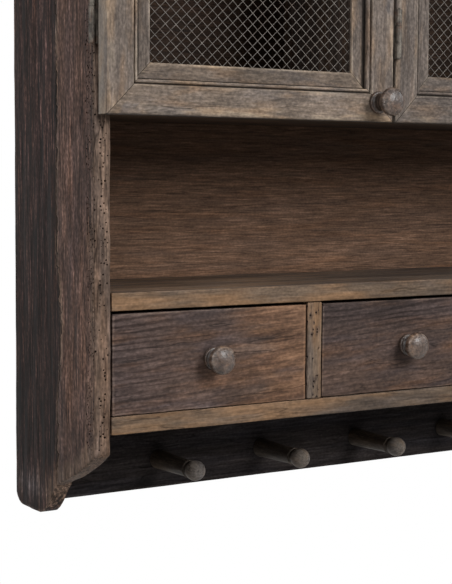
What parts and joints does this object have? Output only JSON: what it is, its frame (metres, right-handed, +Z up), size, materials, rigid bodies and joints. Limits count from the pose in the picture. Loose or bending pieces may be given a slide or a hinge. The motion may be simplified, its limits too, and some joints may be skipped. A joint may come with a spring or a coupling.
{
  "type": "kitchen wall cabinet",
  "caption": "Rustic wooden kitchen wall cabinet with mitred wire-mesh doors, an open display shelf, a row of drawers and a peg rail between ogee-cut sides.",
  "frame": {"origin": "on the wall, at the middle of the cabinet's back", "axes": "+X to the right seen from the front, +Y into the wall, +Z up; doors and drawers face -Y"},
  "size_m": [1.02, 0.2289, 0.8],
  "materials": {
    "side_wood": "weathered, waxed",
    "shelf_wood": "weathered, worn edges",
    "back_wood": "stained",
    "rail_wood": "dark stain",
    "door_wood": "weathered, waxed",
    "drawer_wood": "stained, waxed",
    "box_wood": "raw",
    "turned_wood": "turned, waxed",
    "hinge_steel": "dark, dull",
    "wire_steel": "dull"
  },
  "bodies": {
    "carcass": {"side_left": "side_wood", "side_right": "side_wood", "top_board": "shelf_wood", "cupboard_floor": "shelf_wood", "display_shelf": "shelf_wood", "drawer_floor": "shelf_wood", "drawer_divider_1": "shelf_wood", "drawer_divider_2": "shelf_wood", "drawer_divider_3": "shelf_wood", "cupboard_partition": "shelf_wood", "back_panel": "back_wood", "peg_rail": "rail_wood", "peg_1": "turned_wood", "peg_2": "turned_wood", "peg_3": "turned_wood", "peg_4": "turned_wood", "peg_5": "turned_wood", "peg_6": "turned_wood", "hinge_1_lower_fixed_leaf": "hinge_steel", "hinge_1_upper_fixed_leaf": "hinge_steel", "hinge_2_lower_fixed_leaf": "hinge_steel", "hinge_2_upper_fixed_leaf": "hinge_steel", "hinge_3_lower_fixed_leaf": "hinge_steel", "hinge_3_upper_fixed_leaf": "hinge_steel"},
    "door_1": {"door_1_hinge_stile": "door_wood", "door_1_knob_stile": "door_wood", "door_1_top_rail": "door_wood", "door_1_bottom_rail": "door_wood", "door_1_mesh": "wire_steel", "door_1_knob": "turned_wood", "hinge_1_lower_door_leaf": "hinge_steel", "hinge_1_upper_door_leaf": "hinge_steel"},
    "door_2": {"door_2_hinge_stile": "door_wood", "door_2_knob_stile": "door_wood", "door_2_top_rail": "door_wood", "door_2_bottom_rail": "door_wood", "door_2_mesh": "wire_steel", "door_2_knob": "turned_wood", "hinge_2_lower_door_leaf": "hinge_steel", "hinge_2_upper_door_leaf": "hinge_steel"},
    "door_3": {"door_3_hinge_stile": "door_wood", "door_3_knob_stile": "door_wood", "door_3_top_rail": "door_wood", "door_3_bottom_rail": "door_wood", "door_3_mesh": "wire_steel", "door_3_knob": "turned_wood", "hinge_3_lower_door_leaf": "hinge_steel", "hinge_3_upper_door_leaf": "hinge_steel"},
    "drawer_1": {"drawer_1_front": "drawer_wood", "drawer_1_box": "box_wood", "drawer_1_knob": "turned_wood"},
    "drawer_2": {"drawer_2_front": "drawer_wood", "drawer_2_box": "box_wood", "drawer_2_knob": "turned_wood"},
    "drawer_3": {"drawer_3_front": "drawer_wood", "drawer_3_box": "box_wood", "drawer_3_knob": "turned_wood"},
    "drawer_4": {"drawer_4_front": "drawer_wood", "drawer_4_box": "box_wood", "drawer_4_knob": "turned_wood"}
  },
  "joints": [
    {"name": "door_1_hinge", "type": "hinge", "parent": "carcass", "child": "door_1", "pos_m": [-0.5035, -0.17885, 0.188], "axis": [0, 0, -1], "range_deg": [0, 160]},
    {"name": "door_2_hinge", "type": "hinge", "parent": "carcass", "child": "door_2", "pos_m": [-0.1605, -0.2012, 0.188], "axis": [0, 0, -1], "range_deg": [0, 95]},
    {"name": "door_3_hinge", "type": "hinge", "parent": "carcass", "child": "door_3", "pos_m": [0.5035, -0.17885, 0.188], "axis": [0, 0, 1], "range_deg": [0, 160]},
    {"name": "drawer_1_slide", "type": "slide", "parent": "carcass", "child": "drawer_1", "axis": [0, -1, 0], "range_m": [0, 0.115]},
    {"name": "drawer_2_slide", "type": "slide", "parent": "carcass", "child": "drawer_2", "axis": [0, -1, 0], "range_m": [0, 0.115]},
    {"name": "drawer_3_slide", "type": "slide", "parent": "carcass", "child": "drawer_3", "axis": [0, -1, 0], "range_m": [0, 0.115]},
    {"name": "drawer_4_slide", "type": "slide", "parent": "carcass", "child": "drawer_4", "axis": [0, -1, 0], "range_m": [0, 0.115]}
  ]
}
